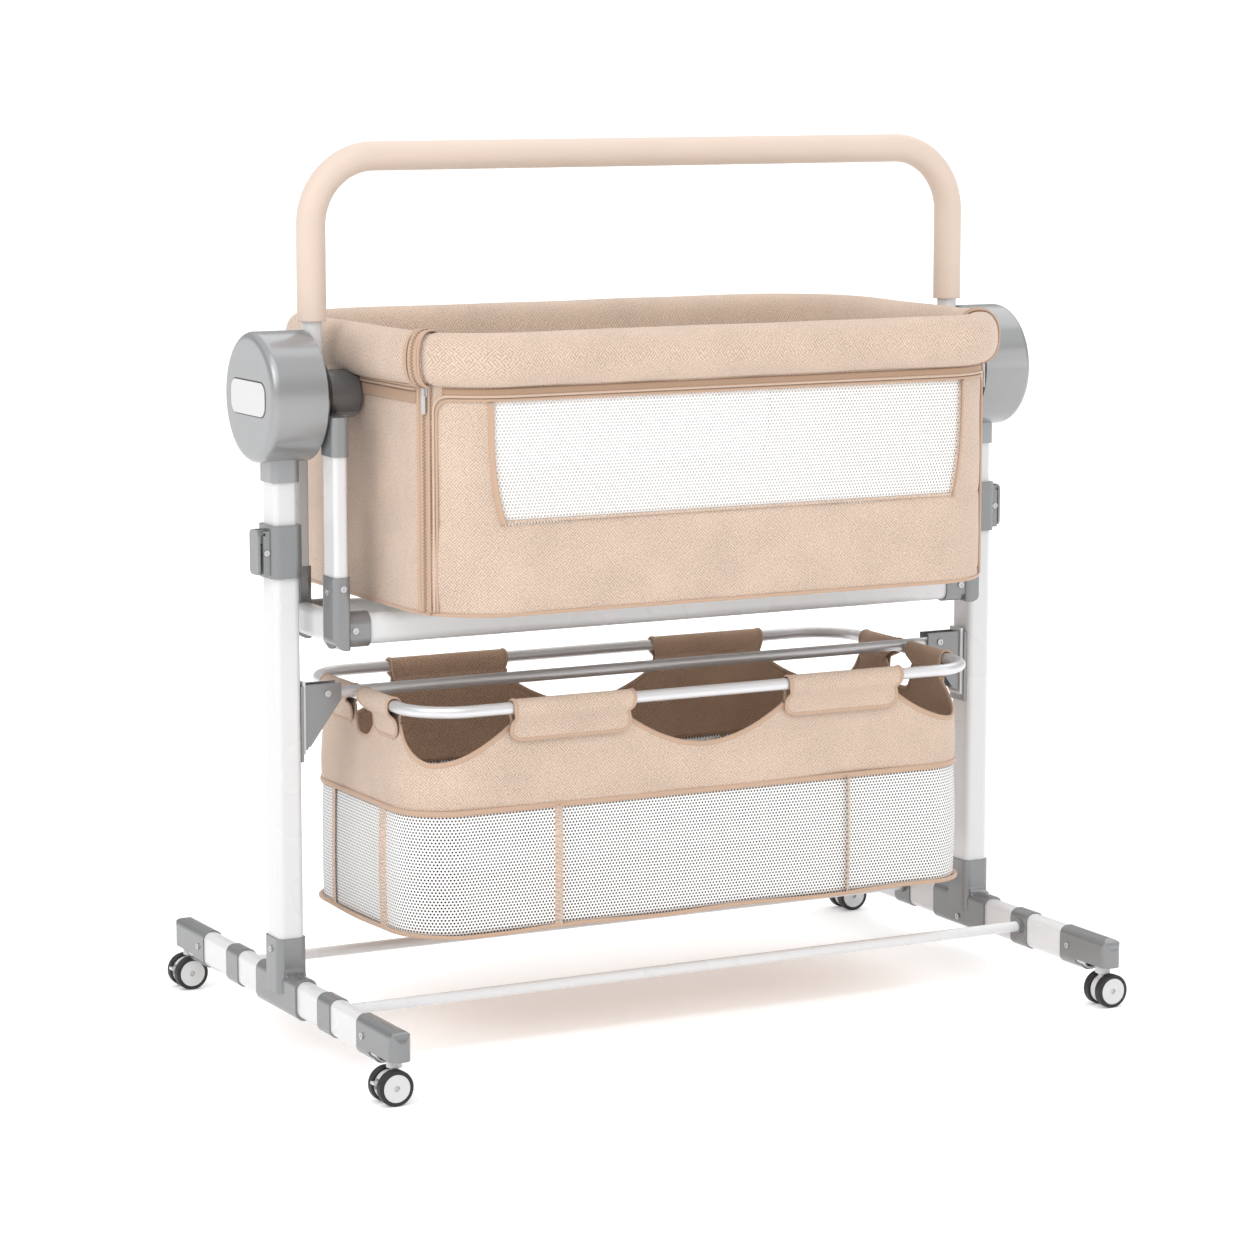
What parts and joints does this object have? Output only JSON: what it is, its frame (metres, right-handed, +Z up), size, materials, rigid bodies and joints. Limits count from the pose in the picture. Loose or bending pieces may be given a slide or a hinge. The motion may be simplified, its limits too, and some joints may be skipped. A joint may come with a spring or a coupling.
{
  "type": "bassinet on stand",
  "caption": "Rocking fabric bassinet with mesh windows and a padded rim, hung between height-adjustable posts on a wheeled base, with foam carry handle and storage basket.",
  "frame": {"origin": "on the floor, under the middle of the stand", "axes": "+X along the bed towards its right end, -Y towards the drop side, +Z up"},
  "size_m": [0.951, 0.61, 0.9758],
  "materials": {
    "white_paint": "white powder coat",
    "steel": "bright plated tube and screws",
    "grey_plastic": "satin grey moulding",
    "dark_plastic": "dark grey moulding",
    "black_plastic": "black moulding",
    "white_plastic": "white moulding",
    "tyre": "black tread",
    "beige_fabric": "linen-look weave, padded",
    "mesh_fabric": "white air mesh",
    "mattress_cover": "quilted cotton",
    "foam": "soft closed-cell foam sleeve"
  },
  "bodies": {
    "stand": {"foot_tubes": "white_paint", "tees": "grey_plastic", "foot_caps": "grey_plastic", "stretcher_collars": "grey_plastic", "stretchers": "white_paint", "left_lower_post": "white_paint", "right_lower_post": "white_paint", "left_height_clamp": "grey_plastic", "right_height_clamp": "grey_plastic", "left_basket_bracket": "grey_plastic", "right_basket_bracket": "grey_plastic", "bracket_strips": "white_paint", "basket_frame": "steel", "basket_band": "beige_fabric", "basket_mesh": "mesh_fabric", "stand_screws": "steel"},
    "left_mast": {"left_upper_post": "white_paint", "left_drum": "grey_plastic", "left_bearing_plate": "dark_plastic"},
    "right_mast": {"right_upper_post": "white_paint", "right_drum": "grey_plastic", "right_bearing_plate": "dark_plastic"},
    "left_button": {"left_button": "white_plastic"},
    "right_button": {"right_button": "white_plastic"},
    "left_lever": {"left_height_lever": "grey_plastic"},
    "right_lever": {"right_height_lever": "grey_plastic"},
    "cradle": {"left_hub": "dark_plastic", "right_hub": "dark_plastic", "hanger_tubes": "white_paint", "cradle_corners": "grey_plastic", "cradle_beams": "white_paint", "cross_tubes": "white_paint", "bassinet_shell": "beige_fabric", "bassinet_rim": "beige_fabric", "rear_window": "mesh_fabric", "mattress": "mattress_cover", "cradle_screws": "steel"},
    "drop_side": {"front_panel": "beige_fabric", "front_window": "mesh_fabric"},
    "handle": {"handle_tube": "white_paint", "handle_foam": "foam", "handle_ends": "black_plastic"},
    "left_zip": {"left_zip_slider": "steel"},
    "right_zip": {"right_zip_slider": "steel"},
    "front_left_swivel": {"front_left_caster": "white_plastic"},
    "front_left_wheel_pair": {"front_left_tyres": "tyre", "front_left_wheels": "white_plastic"},
    "front_left_brake": {"front_left_brake": "white_plastic"},
    "front_right_swivel": {"front_right_caster": "white_plastic"},
    "front_right_wheel_pair": {"front_right_tyres": "tyre", "front_right_wheels": "white_plastic"},
    "front_right_brake": {"front_right_brake": "white_plastic"},
    "rear_left_swivel": {"rear_left_caster": "white_plastic"},
    "rear_left_wheel_pair": {"rear_left_tyres": "tyre", "rear_left_wheels": "white_plastic"},
    "rear_left_brake": {"rear_left_brake": "white_plastic"},
    "rear_right_swivel": {"rear_right_caster": "white_plastic"},
    "rear_right_wheel_pair": {"rear_right_tyres": "tyre", "rear_right_wheels": "white_plastic"},
    "rear_right_brake": {"rear_right_brake": "white_plastic"}
  },
  "joints": [
    {"name": "left_height", "type": "slide", "parent": "stand", "child": "left_mast", "axis": [0, 0, 1], "range_m": [-0.03, 0.12]},
    {"name": "right_height", "type": "slide", "parent": "stand", "child": "right_mast", "axis": [0, 0, 1], "range_m": [-0.03, 0.12]},
    {"name": "left_lever_flip", "type": "hinge", "parent": "stand", "child": "left_lever", "pos_m": [-0.464, 0, 0.561], "axis": [0, 1, 0], "range_deg": [0, 70]},
    {"name": "right_lever_flip", "type": "hinge", "parent": "stand", "child": "right_lever", "pos_m": [0.464, 0, 0.561], "axis": [0, -1, 0], "range_deg": [0, 70]},
    {"name": "left_button_press", "type": "slide", "parent": "left_mast", "child": "left_button", "axis": [1, 0, 0], "range_m": [0, 0.005], "stiffness_N_per_m": 900},
    {"name": "right_button_press", "type": "slide", "parent": "right_mast", "child": "right_button", "axis": [-1, 0, 0], "range_m": [0, 0.005], "stiffness_N_per_m": 900},
    {"name": "swing", "type": "hinge", "parent": "left_mast", "child": "cradle", "pos_m": [-0.41, 0, 0.707], "axis": [1, 0, 0], "range_deg": [-12, 12]},
    {"name": "handle_fold", "type": "hinge", "parent": "cradle", "child": "handle", "pos_m": [-0.402, 0, 0.707], "axis": [1, 0, 0], "range_deg": [-60, 60]},
    {"name": "drop_side_fold", "type": "hinge", "parent": "cradle", "child": "drop_side", "pos_m": [0, -0.213, 0.487], "axis": [1, 0, 0], "range_deg": [0, 150]},
    {"name": "left_zip_slide", "type": "slide", "parent": "cradle", "child": "left_zip", "axis": [0, 0, -1], "range_m": [0, 0.2]},
    {"name": "right_zip_slide", "type": "slide", "parent": "cradle", "child": "right_zip", "axis": [0, 0, -1], "range_m": [0, 0.2]},
    {"name": "front_left_swivel_turn", "type": "hinge", "parent": "stand", "child": "front_left_swivel", "pos_m": [-0.44, -0.283, 0.05], "axis": [0, 0, 1], "continuous": true},
    {"name": "front_left_wheel_roll", "type": "hinge", "parent": "front_left_swivel", "child": "front_left_wheel_pair", "pos_m": [-0.444, -0.283, 0.0191], "axis": [0, 1, 0], "continuous": true},
    {"name": "front_left_brake_press", "type": "hinge", "parent": "front_left_swivel", "child": "front_left_brake", "pos_m": [-0.4535, -0.283, 0.0221], "axis": [0, -1, 0], "range_deg": [-8, 8]},
    {"name": "front_right_swivel_turn", "type": "hinge", "parent": "stand", "child": "front_right_swivel", "pos_m": [0.44, -0.283, 0.05], "axis": [0, 0, 1], "continuous": true},
    {"name": "front_right_wheel_roll", "type": "hinge", "parent": "front_right_swivel", "child": "front_right_wheel_pair", "pos_m": [0.444, -0.283, 0.0191], "axis": [0, 1, 0], "continuous": true},
    {"name": "front_right_brake_press", "type": "hinge", "parent": "front_right_swivel", "child": "front_right_brake", "pos_m": [0.4535, -0.283, 0.0221], "axis": [0, 1, 0], "range_deg": [-8, 8]},
    {"name": "rear_left_swivel_turn", "type": "hinge", "parent": "stand", "child": "rear_left_swivel", "pos_m": [-0.44, 0.283, 0.05], "axis": [0, 0, 1], "continuous": true},
    {"name": "rear_left_wheel_roll", "type": "hinge", "parent": "rear_left_swivel", "child": "rear_left_wheel_pair", "pos_m": [-0.444, 0.283, 0.0191], "axis": [0, 1, 0], "continuous": true},
    {"name": "rear_left_brake_press", "type": "hinge", "parent": "rear_left_swivel", "child": "rear_left_brake", "pos_m": [-0.4535, 0.283, 0.0221], "axis": [0, -1, 0], "range_deg": [-8, 8]},
    {"name": "rear_right_swivel_turn", "type": "hinge", "parent": "stand", "child": "rear_right_swivel", "pos_m": [0.44, 0.283, 0.05], "axis": [0, 0, 1], "continuous": true},
    {"name": "rear_right_wheel_roll", "type": "hinge", "parent": "rear_right_swivel", "child": "rear_right_wheel_pair", "pos_m": [0.444, 0.283, 0.0191], "axis": [0, 1, 0], "continuous": true},
    {"name": "rear_right_brake_press", "type": "hinge", "parent": "rear_right_swivel", "child": "rear_right_brake", "pos_m": [0.4535, 0.283, 0.0221], "axis": [0, 1, 0], "range_deg": [-8, 8]}
  ],
  "couplings": [
    {"joint": "right_height", "follows": "left_height", "ratio": 1}
  ]
}
